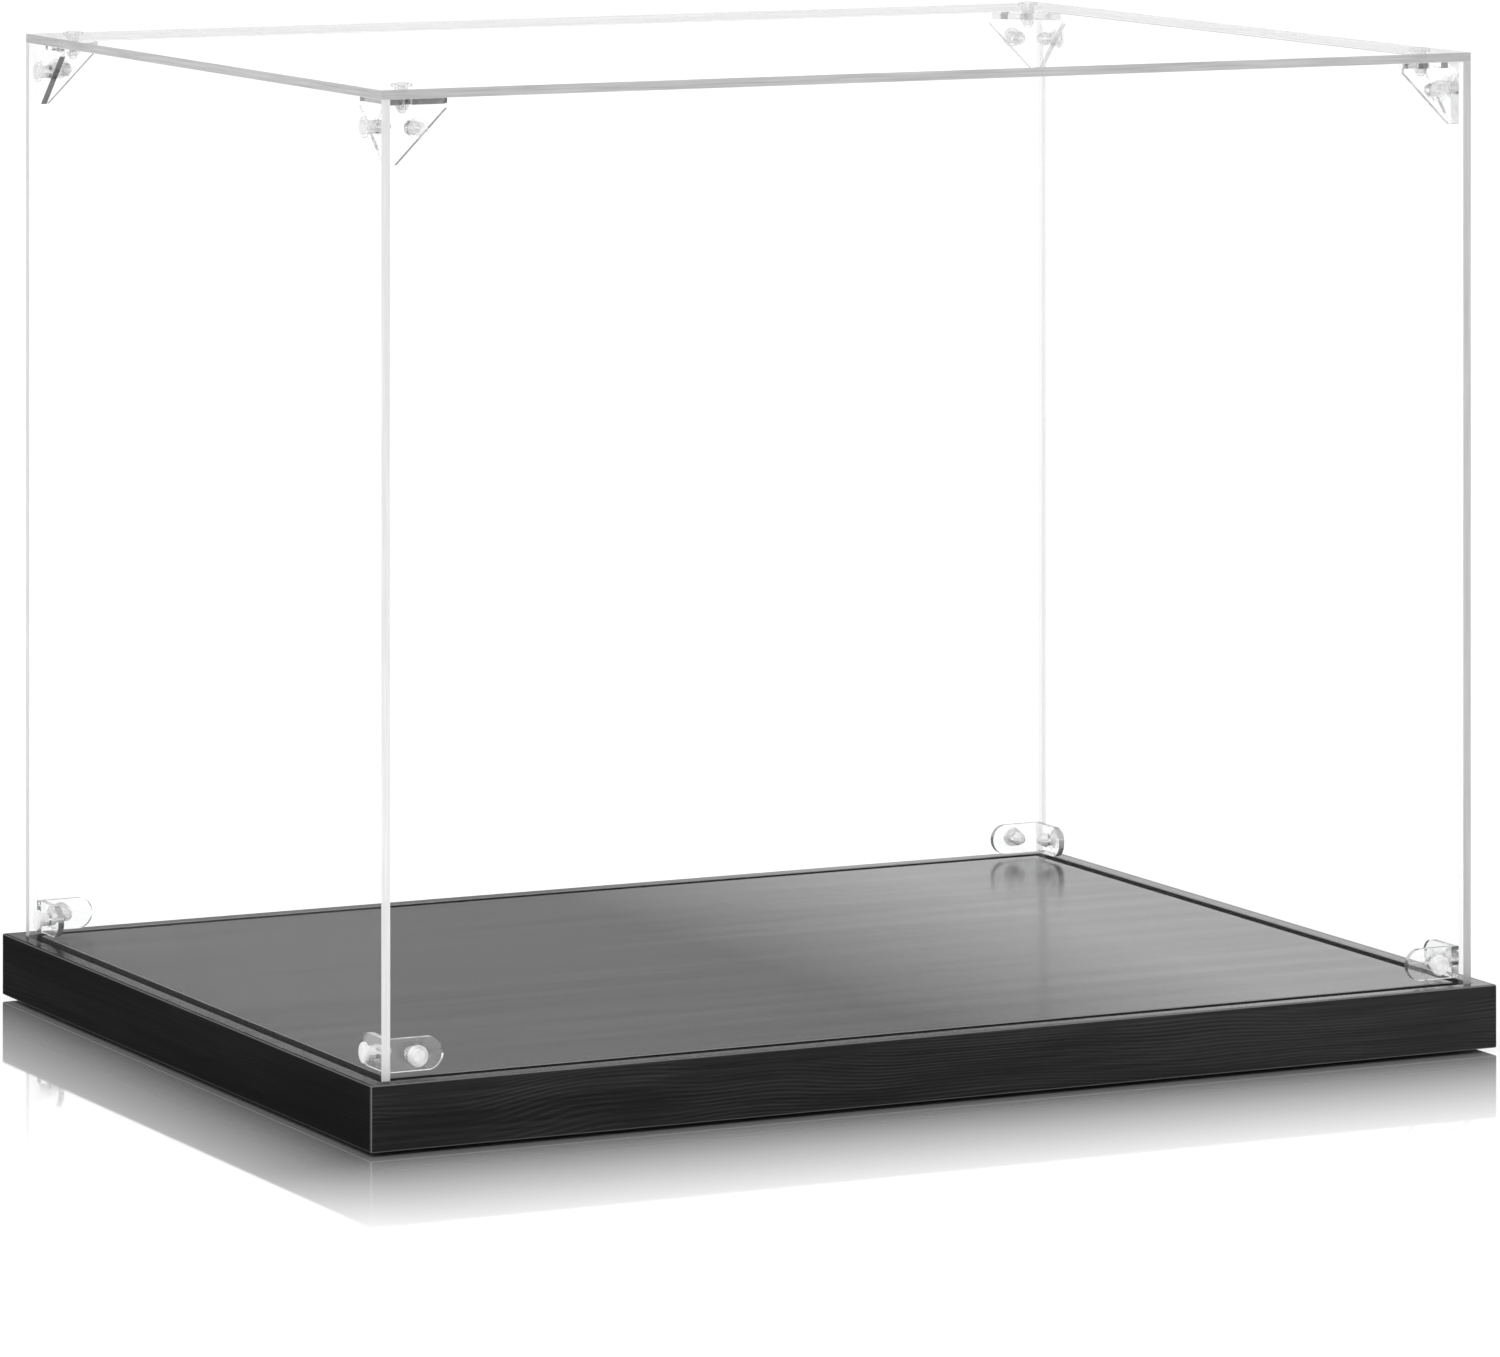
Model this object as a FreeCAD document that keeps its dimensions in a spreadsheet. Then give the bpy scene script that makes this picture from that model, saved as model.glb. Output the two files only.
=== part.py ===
import FreeCAD, Part
import os

import Sketcher

# Football display case: a grooved wood-core base board and a clear cover that lifts off it.
# Millimetres, +Z up. The origin is the middle of the footprint, on the surface the case
# stands on. +X runs along the long front side, and the front faces -Y.

# Driving dimensions: alias, value, meaning.
SIZES = [
    ("baseLength", 390, "base board, left to right"),
    ("baseDepth", 300, "base board, front to back"),
    ("boardThick", 20, "base board with its top film and bottom liner"),
    ("bandThick", 1, "edge band"),
    ("filmThick", 0.5, "top film and bottom liner"),
    ("arrisRadius", 0.5, "rounding of the board's outer edges"),
    ("padThick", 1.2, "anti-slip pad"),
    ("padDiameter", 14, "anti-slip pad"),
    ("padInset", 24, "board's edge to the middle of a pad"),
    ("grooveInset", 5.5, "board's edge to the groove"),
    ("grooveWidth", 4.5, "groove that the cover stands in"),
    ("grooveDepth", 3, "groove that the cover stands in"),
    ("filmBevel", 0.25, "film's edges, eased along the groove"),
    ("coverInset", 6, "board's edge to the cover's outer faces"),
    ("coverRise", 295.6, "board's top to the lid's top"),
    ("sheetThick", 2.8, "clear sheet of every panel"),
    ("hairline", 0.1, "gap where two panels meet"),
    ("fittingThick", 2, "wall of the corner brackets and clips"),
    ("bracketLeg", 20, "corner bracket, along each wall"),
    ("bracketTip", 3.4, "blunt end of a corner bracket's plate"),
    ("clipLeg", 18.8, "bottom clip, along each wall"),
    ("clipTall", 10, "bottom clip"),
    ("rivetInset", 11.8, "cover's outer faces to a rivet's axis"),
    ("rivetRise", 6.6, "board's top to the low rivets' axes"),
    ("holeDiameter", 4.2, "rivet hole"),
    ("shankDiameter", 4, "rivet body, through the hole"),
    ("barbDiameter", 4.9, "rivet body, where it grips behind the plate"),
    ("noseDiameter", 3.4, "rivet body, inner end"),
    ("barbLong", 2, "rivet body, behind the plate"),
    ("barbStart", 0.1, "plate's inner face to the barb"),
    ("boreDiameter", 2.2, "rivet body, bore for the pin"),
    ("headDiameter", 6.5, "rivet body, head"),
    ("headThick", 1, "rivet body, head"),
    ("headRadius", 0.4, "rounding of the rivet head's rim"),
    ("recessDiameter", 4.3, "recess in the rivet's head"),
    ("recessDepth", 0.5, "recess in the rivet's head"),
    ("slotWidth", 0.8, "cross slot that splits the rivet's legs"),
    ("slotStart", 1, "outer face of the panel to the slot's end"),
    ("pinDiameter", 2, "rivet pin, in the bore"),
    ("pinHeadDiameter", 4.1, "rivet pin, head"),
    ("pinHeadProud", 0.15, "rivet pin's head above the rivet's head"),
    ("pinHeadRadius", 0.25, "rounding of the pin head's rim"),
    ("tipDiameter", 2.6, "rivet pin, bulb at the inner end"),
    ("tipStart", 0.05, "rivet body's inner end to the bulb"),
    ("tipLong", 1, "rivet pin, bulb"),
]

# Dimensions that follow from the driving ones: name, expression.
DERIVED = [
    ("boardTop", "Sizes.padThick + Sizes.boardThick"),
    ("coreBottom", "Sizes.padThick + Sizes.filmThick"),
    ("coreTop", "Derived.boardTop - Sizes.filmThick"),
    ("coreLength", "Sizes.baseLength - 2 * Sizes.bandThick"),
    ("coreDepth", "Sizes.baseDepth - 2 * Sizes.bandThick"),
    ("grooveFloor", "Derived.boardTop - Sizes.grooveDepth"),
    ("grooveOuterLength", "Sizes.baseLength - 2 * Sizes.grooveInset"),
    ("grooveOuterDepth", "Sizes.baseDepth - 2 * Sizes.grooveInset"),
    ("fieldLength", "Derived.grooveOuterLength - 2 * Sizes.grooveWidth"),
    ("fieldDepth", "Derived.grooveOuterDepth - 2 * Sizes.grooveWidth"),
    ("padX", "Sizes.baseLength / 2 - Sizes.padInset"),
    ("padY", "Sizes.baseDepth / 2 - Sizes.padInset"),
    ("lidTop", "Derived.boardTop + Sizes.coverRise"),
    ("lidBottom", "Derived.lidTop - Sizes.sheetThick"),
    ("coverLength", "Sizes.baseLength - 2 * Sizes.coverInset"),
    ("coverDepth", "Sizes.baseDepth - 2 * Sizes.coverInset"),
    ("innerX", "Derived.coverLength / 2 - Sizes.sheetThick"),
    ("innerY", "Derived.coverDepth / 2 - Sizes.sheetThick"),
    ("frontLength", "2 * Derived.innerX - 2 * Sizes.hairline"),
    ("sideLength", "Derived.coverDepth - Sizes.sheetThick - Sizes.hairline"),
    ("wallTall", "Derived.lidBottom - Sizes.hairline - Derived.grooveFloor"),
    ("holeLow", "Sizes.grooveDepth + Sizes.rivetRise"),
    ("holeHigh", "Derived.lidTop - Sizes.rivetInset - Derived.grooveFloor"),
    ("fullDepthFar", "Derived.coverDepth - Sizes.rivetInset"),
    ("fullLengthFar", "Derived.coverLength - Sizes.rivetInset"),
    ("buttedNear", "Sizes.rivetInset - Sizes.sheetThick - Sizes.hairline"),
    ("frontFar", "Derived.frontLength - Derived.buttedNear"),
    ("sideFar", "Derived.sideLength - Sizes.rivetInset"),
    ("fittingHole", "Sizes.rivetInset - Sizes.sheetThick"),
    ("clipHalf", "Sizes.clipTall / 2"),
    ("clipStraight", "Sizes.clipLeg - Derived.clipHalf"),
    ("clipBottom", "Derived.boardTop + Sizes.rivetRise - Derived.clipHalf"),
    ("barbRadius", "Sizes.barbDiameter / 2"),
    ("shankRadius", "Sizes.shankDiameter / 2"),
    ("noseRadius", "Sizes.noseDiameter / 2"),
    ("boreRadius", "Sizes.boreDiameter / 2"),
    ("rimRadius", "Sizes.headDiameter / 2"),
    ("recessRadius", "Sizes.recessDiameter / 2"),
    ("pinRadius", "Sizes.pinDiameter / 2"),
    ("pinRimRadius", "Sizes.pinHeadDiameter / 2"),
    ("bulbRadius", "Sizes.tipDiameter / 2"),
    ("bulbNeck", "Derived.bulbRadius / 2"),
    # Heights in a rivet, counted from its inner end, so that none is negative.
    ("panelFace", "Sizes.tipStart + Sizes.tipLong + Sizes.barbLong + Sizes.barbStart"
                  " + Sizes.fittingThick + Sizes.sheetThick"),
    ("noseEnd", "Sizes.tipStart + Sizes.tipLong"),
    ("barbEnd", "Derived.noseEnd + Sizes.barbLong"),
    ("headTop", "Derived.panelFace + Sizes.headThick"),
    ("recessFloor", "Derived.headTop - Sizes.recessDepth"),
    ("slotTall", "Derived.panelFace - Sizes.slotStart"),
    ("pinTop", "Derived.headTop + Sizes.pinHeadProud"),
    ("bulbMiddle", "Sizes.tipLong / 2"),
]

ORIGIN = FreeCAD.Vector(0, 0, 0)
X_AXIS = FreeCAD.Vector(1, 0, 0)
Z_AXIS = FreeCAD.Vector(0, 0, 1)
DIAGONAL = FreeCAD.Vector(1, 1, 0)

doc = FreeCAD.newDocument("display_case")


def make_sizes():
    """The spreadsheet of driving dimensions."""
    sheet = doc.addObject("Spreadsheet::Sheet", "Sizes")
    for row, (alias, value, meaning) in enumerate(SIZES, start=1):
        sheet.set(f"A{row}", alias)
        sheet.set(f"B{row}", str(value))
        sheet.set(f"C{row}", meaning)
        sheet.setAlias(f"B{row}", alias)
    doc.recompute()
    return sheet


def make_derived():
    """The set of dimensions worked out from the spreadsheet."""
    derived = doc.addObject("App::VarSet", "Derived")
    for name, expression in DERIVED:
        derived.addProperty("App::PropertyFloat", name)
        derived.setExpression(name, expression)
        doc.recompute()
    return derived


sizes = make_sizes()
derived = make_derived()
TOUCH = 1e-6


def bind(name):
    """The expression that names a dimension, and its present value."""
    if name in derived.PropertiesList:
        return f"Derived.{name}", getattr(derived, name)
    return f"Sizes.{name}", float(sizes.get(name))


def set_sizes(obj, **expressions):
    """Tie an object's properties to expressions."""
    for prop, expression in expressions.items():
        obj.setExpression(prop, expression)


def place(obj, rotation, x=None, y=None, z=None):
    """Turn an object, then tie its position to expressions."""
    obj.Placement = FreeCAD.Placement(ORIGIN, rotation)
    for axis, expression in (("x", x), ("y", y), ("z", z)):
        if expression:
            obj.setExpression(f"Placement.Base.{axis}", expression)
    return obj


def yaw(degrees):
    return FreeCAD.Rotation(Z_AXIS, degrees)


# ---- plain blocks and rings of the base ----

def block(name, length, depth, height, bottom):
    """A box centred on the Z axis, standing at the height given."""
    box = doc.addObject("Part::Box", name)
    box.Label = name
    set_sizes(box, Length=length, Width=depth, Height=height)
    return place(box, yaw(0), f"-({length}) / 2", f"-({depth}) / 2", bottom)


def cut(name, whole, tool):
    result = doc.addObject("Part::Cut", name)
    result.Label = name
    result.Base = whole
    result.Tool = tool
    return result


def ring(name, outer, inner):
    """The space between two centred outlines; each is a length, a depth, a height and a bottom."""
    return cut(name, block(f"{name}_outer", *outer), block(f"{name}_inner", *inner))


def base_core():
    """Wood board with the routed groove that holds the cover."""
    blank = block("core_blank", "Derived.coreLength", "Derived.coreDepth",
                  "Derived.coreTop - Derived.coreBottom", "Derived.coreBottom")
    groove = ring(
        "groove",
        ("Derived.grooveOuterLength", "Derived.grooveOuterDepth",
         "Sizes.grooveDepth", "Derived.grooveFloor"),
        ("Derived.fieldLength", "Derived.fieldDepth",
         "2 * Sizes.grooveDepth", "Derived.grooveFloor - Sizes.grooveDepth / 2"),
    )
    return cut("base_core", blank, groove)


def film_block(body, kind, length, depth, thickness, bottom):
    """A centred box inside a PartDesign body."""
    box = body.newObject(kind, f"{body.Name}_{kind[len('PartDesign::'):]}")
    set_sizes(box, Length=length, Width=depth, Height=thickness)
    return place(box, yaw(0), f"-({length}) / 2", f"-({depth}) / 2", bottom)


def ease_groove_edges(film, base, wall):
    """Bevel the film's top edges along the groove, whose wall is the rectangle given."""
    doc.recompute()
    top = bind("boardTop")[1] - bind("coreTop")[1]
    eased = []
    for number, edge in enumerate(base.Shape.Edges, start=1):
        middle = edge.BoundBox.Center
        along_x = abs(abs(middle.x) - wall[0] / 2) < TOUCH and abs(middle.y) < TOUCH
        along_y = abs(abs(middle.y) - wall[1] / 2) < TOUCH and abs(middle.x) < TOUCH
        if (along_x or along_y) and abs(middle.z - top) < TOUCH:
            eased.append(f"Edge{number}")
    bevel = film.newObject("PartDesign::Chamfer", f"{film.Name}_bevel")
    bevel.Base = (base, eased)
    bevel.setExpression("Size", "Sizes.filmBevel")
    film.Tip = bevel


def base_top_film():
    """Wood-grain film on the field inside the groove."""
    film = doc.addObject("PartDesign::Body", "base_top_film")
    field = film_block(film, "PartDesign::AdditiveBox", "Derived.fieldLength",
                       "Derived.fieldDepth", "Sizes.filmThick", None)
    ease_groove_edges(film, field, (bind("fieldLength")[1], bind("fieldDepth")[1]))
    return place(film, yaw(0), z="Derived.coreTop")


def base_rim_film():
    """The same film on the narrow strip outside the groove."""
    film = doc.addObject("PartDesign::Body", "base_rim_film")
    film_block(film, "PartDesign::AdditiveBox", "Derived.coreLength", "Derived.coreDepth",
               "Sizes.filmThick", None)
    strip = film_block(film, "PartDesign::SubtractiveBox", "Derived.grooveOuterLength",
                       "Derived.grooveOuterDepth", "3 * Sizes.filmThick", "-Sizes.filmThick")
    opening = (bind("grooveOuterLength")[1], bind("grooveOuterDepth")[1])
    ease_groove_edges(film, strip, opening)
    return place(film, yaw(0), z="Derived.coreTop")


def base_bottom_liner():
    return block("base_bottom_liner", "Derived.coreLength", "Derived.coreDepth",
                 "Sizes.filmThick", "Sizes.padThick")


def edge_band(name, angle, length, distance, capped):
    """Edge band along one side of the board, with rounded outer edges.

    A capped band runs past the ends of its neighbours, so its own ends are rounded too.
    """
    band = doc.addObject("PartDesign::Body", name)
    band.Label = name
    strip = band.newObject("PartDesign::AdditiveBox", f"{name}_strip")
    set_sizes(strip, Length=length, Width="Sizes.bandThick", Height="Sizes.boardThick")
    strip.setExpression("Placement.Base.x", f"-({length}) / 2")
    doc.recompute()
    half = bind("bandThick")[1] / 2
    rounded = []
    for number, edge in enumerate(strip.Shape.Edges, start=1):
        middle = edge.BoundBox.Center
        outer = middle.y < half / 2 and (capped or abs(middle.x) < half)
        end = capped and abs(middle.y - half) < half / 2
        if outer or end:
            rounded.append(f"Edge{number}")
    fillet = band.newObject("PartDesign::Fillet", f"{name}_arris")
    fillet.Base = (strip, rounded)
    fillet.setExpression("Radius", "Sizes.arrisRadius")
    band.Tip = fillet
    side_x = {90: f"({distance})", -90: f"-({distance})"}.get(angle)
    side_y = {0: f"-({distance})", 180: f"({distance})"}.get(angle)
    return place(band, yaw(angle), side_x, side_y, "Sizes.padThick")


def edge_bands():
    long_run = ("Sizes.baseLength", "Sizes.baseDepth / 2", True)
    short_run = ("Derived.coreDepth", "Sizes.baseLength / 2", False)
    return [
        edge_band("edge_band_front", 0, *long_run),
        edge_band("edge_band_back", 180, *long_run),
        edge_band("edge_band_right", 90, *short_run),
        edge_band("edge_band_left", -90, *short_run),
    ]


def compound(name, members):
    group = doc.addObject("Part::Compound", name)
    group.Label = name
    group.Links = members
    return group


def anti_slip_pads():
    """Four round pads under the board."""
    pads = []
    for number, (side, end) in enumerate(((-1, -1), (1, -1), (1, 1), (-1, 1)), start=1):
        pad = doc.addObject("Part::Cylinder", f"pad_{number}")
        set_sizes(pad, Radius="Sizes.padDiameter / 2", Height="Sizes.padThick")
        pads.append(place(pad, yaw(0), f"{side} * Derived.padX", f"{end} * Derived.padY"))
    return compound("anti_slip_pads", pads)


# ---- sketches ----

def origin_plane(body, role):
    for feature in body.Origin.OriginFeatures:
        if feature.Role == role:
            return feature
    raise ValueError(f"no {role} in {body.Label}")


def new_sketch(body, name, role):
    sketch = body.newObject("Sketcher::SketchObject", name)
    sketch.AttachmentSupport = [(origin_plane(body, role), "")]
    sketch.MapMode = "FlatFace"
    return sketch


def fix_point(sketch, geometry, vertex, x_name, y_name):
    """Tie one point of a sketch to two named dimensions; None means on the axis."""
    horizontal_axis, vertical_axis, root = -1, -2, (-1, 1)
    if x_name is None:
        sketch.addConstraint(
            Sketcher.Constraint("PointOnObject", geometry, vertex, vertical_axis))
    else:
        expression, value = bind(x_name)
        index = sketch.addConstraint(
            Sketcher.Constraint("DistanceX", *root, geometry, vertex, value))
        sketch.setExpression(f"Constraints[{index}]", expression)
    if y_name is None:
        sketch.addConstraint(
            Sketcher.Constraint("PointOnObject", geometry, vertex, horizontal_axis))
    else:
        expression, value = bind(y_name)
        index = sketch.addConstraint(
            Sketcher.Constraint("DistanceY", *root, geometry, vertex, value))
        sketch.setExpression(f"Constraints[{index}]", expression)


def point(x_name, y_name):
    x_value = bind(x_name)[1] if x_name else 0
    y_value = bind(y_name)[1] if y_name else 0
    return FreeCAD.Vector(x_value, y_value, 0)


def polygon(sketch, corners):
    """Closed outline through corners named by their dimensions, fully constrained."""
    count = len(corners)
    first = sketch.GeometryCount
    for number in range(count):
        start = point(*corners[number])
        end = point(*corners[(number + 1) % count])
        sketch.addGeometry(Part.LineSegment(start, end))
    for number in range(count):
        following = (number + 1) % count
        sketch.addConstraint(
            Sketcher.Constraint("Coincident", first + number, 2, first + following, 1))
    for number in range(count):
        fix_point(sketch, first + number, 1, *corners[number])


def hole(sketch, x_name, y_name):
    """Circle for one rivet hole."""
    diameter_expression, diameter = bind("holeDiameter")
    index = sketch.addGeometry(
        Part.Circle(point(x_name, y_name), FreeCAD.Vector(0, 0, 1), diameter / 2))
    fix_point(sketch, index, 3, x_name, y_name)
    constraint = sketch.addConstraint(Sketcher.Constraint("Diameter", index, diameter))
    sketch.setExpression(f"Constraints[{constraint}]", diameter_expression)


def pad(body, sketch, name, thickness, flip=False):
    """Raise a sketch into a plate; flip turns it to the sketch plane's other side."""
    feature = body.newObject("PartDesign::Pad", name)
    feature.Profile = sketch
    feature.Reversed = flip
    feature.setExpression("Length", thickness)
    body.Tip = feature
    return feature


# ---- clear panels ----

UPRIGHT = FreeCAD.Rotation(X_AXIS, 90)
FLAT = FreeCAD.Rotation()
WALL_ROWS = ("holeLow", "holeHigh")

# Each panel: length, height, hole columns and rows, rotation, and where its inner lower corner
# stands. A panel is drawn flat, its sheet rises outwards, and it is then turned into place. The lid
# covers all four walls, the back covers the sides' ends, and the front stands between the sides.
PANELS = {
    "top": ("coverLength", "coverDepth",
            (("rivetInset", "fullLengthFar"), ("rivetInset", "fullDepthFar")), FLAT,
            ("-Derived.coverLength / 2", "-Derived.coverDepth / 2", "Derived.lidBottom")),
    "front": ("frontLength", "wallTall", (("buttedNear", "frontFar"), WALL_ROWS), UPRIGHT,
              ("-Derived.frontLength / 2", "-Derived.innerY", "Derived.grooveFloor")),
    "back": ("coverLength", "wallTall", (("rivetInset", "fullLengthFar"), WALL_ROWS),
             yaw(180) * UPRIGHT,
             ("Derived.coverLength / 2", "Derived.innerY", "Derived.grooveFloor")),
    "right": ("sideLength", "wallTall", (("rivetInset", "fullDepthFar"), WALL_ROWS),
              yaw(90) * UPRIGHT,
              ("Derived.innerX", "-Derived.coverDepth / 2", "Derived.grooveFloor")),
    "left": ("sideLength", "wallTall", (("buttedNear", "sideFar"), WALL_ROWS),
             yaw(-90) * UPRIGHT,
             ("-Derived.innerX", "Derived.innerY - Sizes.hairline", "Derived.grooveFloor")),
}


def hole_places(holes):
    columns, rows = holes
    return [(column, row) for row in rows for column in columns]


def panel(side):
    """Clear sheet with its four rivet holes."""
    length, height, holes, rotation, corner = PANELS[side]
    name = f"panel_{side}"
    body = doc.addObject("PartDesign::Body", name)
    body.Label = name
    sketch = new_sketch(body, f"{name}_outline", "XY_Plane")
    polygon(sketch, [(None, None), (length, None), (length, height), (None, height)])
    for column, row in hole_places(holes):
        hole(sketch, column, row)
    pad(body, sketch, f"{name}_sheet", "Sizes.sheetThick")
    return place(body, rotation, *corner)


# ---- corner fittings ----

CORNERS = {"front_left": (0, -1, -1), "front_right": (90, 1, -1),
           "back_right": (180, 1, 1), "back_left": (270, -1, 1)}


def top_bracket(corner):
    """Three joined triangular plates, one under the lid and one on each wall."""
    angle, side, end = CORNERS[corner]
    name = f"top_bracket_{corner}"
    body = doc.addObject("PartDesign::Body", name)
    body.Label = name
    plate = [(None, None), ("bracketLeg", None), ("bracketLeg", "bracketTip"),
             ("bracketTip", "bracketLeg"), (None, "bracketLeg")]
    for role, flip in (("XY_Plane", False), ("XZ_Plane", True), ("YZ_Plane", False)):
        sketch = new_sketch(body, f"{name}_{role[:2]}_outline", role)
        polygon(sketch, plate)
        hole(sketch, "fittingHole", "fittingHole")
        pad(body, sketch, f"{name}_{role[:2]}_plate", "Sizes.fittingThick", flip)
    # The bracket is drawn standing in a lower corner, then turned over into the upper one.
    turned_over = yaw(angle) * FreeCAD.Rotation(DIAGONAL, 180)
    return place(body, turned_over, f"{side} * Derived.innerX", f"{end} * Derived.innerY",
                 "Derived.lidBottom")


def clip_leg(sketch):
    """Outline of one clip leg: square at the corner, a half circle at the far end."""
    lower_end = point("clipStraight", None)
    upper_end = point("clipStraight", "clipTall")
    upper_corner = point(None, "clipTall")
    middle = point("clipStraight", "clipHalf")
    far_end = middle + FreeCAD.Vector(middle.y, 0, 0)
    sketch.addGeometry(Part.LineSegment(ORIGIN, lower_end))
    sketch.addGeometry(Part.Arc(lower_end, far_end, upper_end))
    sketch.addGeometry(Part.LineSegment(upper_end, upper_corner))
    sketch.addGeometry(Part.LineSegment(upper_corner, ORIGIN))
    bottom_line, arc, top_line, corner_line = range(4)
    sketch.addConstraint([
        Sketcher.Constraint("Coincident", bottom_line, 2, arc, 1),
        Sketcher.Constraint("Coincident", arc, 2, top_line, 1),
        Sketcher.Constraint("Coincident", top_line, 2, corner_line, 1),
        Sketcher.Constraint("Coincident", corner_line, 2, bottom_line, 1),
        Sketcher.Constraint("Horizontal", top_line),
        Sketcher.Constraint("Vertical", corner_line),
    ])
    fix_point(sketch, bottom_line, 1, None, None)
    fix_point(sketch, bottom_line, 2, "clipStraight", None)
    fix_point(sketch, arc, 3, "clipStraight", "clipHalf")
    sketch.addConstraint(Sketcher.Constraint("Vertical", arc, 2, arc, 3))


def bottom_clip(corner):
    """L-shaped clip with a round-ended leg on each wall."""
    angle, side, end = CORNERS[corner]
    name = f"bottom_clip_{corner}"
    body = doc.addObject("PartDesign::Body", name)
    body.Label = name
    for role, flip in (("XZ_Plane", True), ("YZ_Plane", False)):
        sketch = new_sketch(body, f"{name}_{role[:2]}_outline", role)
        clip_leg(sketch)
        hole(sketch, "fittingHole", "clipHalf")
        pad(body, sketch, f"{name}_{role[:2]}_leg", "Sizes.fittingThick", flip)
    return place(body, yaw(angle), f"{side} * Derived.innerX", f"{end} * Derived.innerY",
                 "Derived.clipBottom")


# ---- push rivets ----

def turned(name, profile):
    """Solid turned about Z from a half profile."""
    body = doc.addObject("PartDesign::Body", name)
    sketch = new_sketch(body, f"{name}_profile", "XZ_Plane")
    polygon(sketch, profile)
    feature = body.newObject("PartDesign::Revolution", f"{name}_turned")
    feature.Profile = sketch
    feature.ReferenceAxis = (sketch, ["V_Axis"])
    feature.Angle = 360
    body.Tip = feature
    doc.recompute()
    return body, feature


def round_rim(body, base, radius_name, height_name, fillet_name):
    """Round the circular edge of a head, found by its radius and height."""
    radius = bind(radius_name)[1]
    height = bind(height_name)[1]
    for number, edge in enumerate(base.Shape.Edges, start=1):
        curve = edge.Curve
        if not isinstance(curve, Part.Circle):
            continue
        if abs(curve.Radius - radius) < TOUCH and abs(curve.Center.z - height) < TOUCH:
            rim = f"Edge{number}"
    fillet = body.newObject("PartDesign::Fillet", f"{body.Name}_rim")
    fillet.Base = (base, [rim])
    fillet.setExpression("Radius", fillet_name)
    body.Tip = fillet
    doc.recompute()
    return fillet


def rivet_body():
    """Hollow push rivet: recessed head, shank, barb, and a cross slot up from the inner end."""
    body, turned_shape = turned("rivet_body", [
        ("boreRadius", "noseEnd"), ("noseRadius", "noseEnd"), ("barbRadius", "barbEnd"),
        ("shankRadius", "barbEnd"), ("shankRadius", "panelFace"), ("rimRadius", "panelFace"),
        ("rimRadius", "headTop"), ("recessRadius", "headTop"), ("recessRadius", "recessFloor"),
        ("boreRadius", "recessFloor"),
    ])
    round_rim(body, turned_shape, "rimRadius", "headTop", "Sizes.headRadius")
    along = "Sizes.barbDiameter"
    across = "Sizes.slotWidth / 2"
    for angle, corner in ((0, (f"-{along}", f"-{across}")), (90, (across, f"-{along}"))):
        slot = body.newObject("PartDesign::SubtractiveBox", f"rivet_slot_{angle}")
        set_sizes(slot, Length="2 * Sizes.barbDiameter", Width="Sizes.slotWidth",
                  Height="Derived.slotTall")
        place(slot, yaw(angle), *corner)
        body.Tip = slot
    return body


def rivet_pin():
    """Pin that spreads the rivet's legs: flat head, shank, and a bulb past the inner end."""
    body, turned_shape = turned("rivet_pin", [
        (None, None), ("bulbNeck", None), ("bulbRadius", "bulbMiddle"),
        ("bulbRadius", "tipLong"), ("pinRadius", "tipLong"), ("pinRadius", "recessFloor"),
        ("pinRimRadius", "recessFloor"), ("pinRimRadius", "pinTop"), (None, "pinTop"),
    ])
    round_rim(body, turned_shape, "pinRimRadius", "pinTop", "Sizes.pinHeadRadius")
    return body


def rivet_group(name, master, side):
    """The four copies of a rivet piece that one panel carries, placed in the panel's frame."""
    _, _, holes, rotation, corner = PANELS[side]
    copies = []
    for number, (column, row) in enumerate(hole_places(holes), start=1):
        copy = doc.addObject("App::Link", f"{name}_{number}")
        copy.LinkedObject = master
        copy.setExpression("Placement.Base.x", bind(column)[0])
        copy.setExpression("Placement.Base.y", bind(row)[0])
        copy.setExpression("Placement.Base.z", "Sizes.sheetThick - Derived.panelFace")
        copies.append(copy)
    return place(compound(name, copies), rotation, *corner)


def build():
    nodes = [base_core(), base_top_film(), base_rim_film(), base_bottom_liner()]
    nodes += edge_bands()
    nodes.append(anti_slip_pads())
    nodes += [panel(side) for side in PANELS]
    nodes += [top_bracket(corner) for corner in CORNERS]
    nodes += [bottom_clip(corner) for corner in CORNERS]
    hollow, pin = rivet_body(), rivet_pin()
    nodes += [rivet_group(f"rivet_bodies_{side}", hollow, side) for side in PANELS]
    nodes += [rivet_group(f"rivet_pins_{side}", pin, side) for side in PANELS]
    doc.recompute()
    return nodes


def check(nodes):
    for obj in doc.Objects:
        if "Invalid" in obj.State or "Error" in obj.State:
            raise RuntimeError(f"{obj.Label} failed: {obj.State}")
    for node in nodes:
        if node.Shape.isNull() or not node.Shape.isValid():
            raise RuntimeError(f"{node.Label} has no valid shape")


def export(nodes):
    os.makedirs("parts", exist_ok=True)
    for node in nodes:
        node.Shape.exportStep(f"parts/{node.Label}.step")
        box = node.Shape.BoundBox
        print(f"{node.Label}: {len(node.Shape.Solids)} solids, {node.Shape.Volume:.1f} mm3,"
              f" z {box.ZMin:.2f} to {box.ZMax:.2f}")


nodes = build()
check(nodes)
export(nodes)
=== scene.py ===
import math

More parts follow.
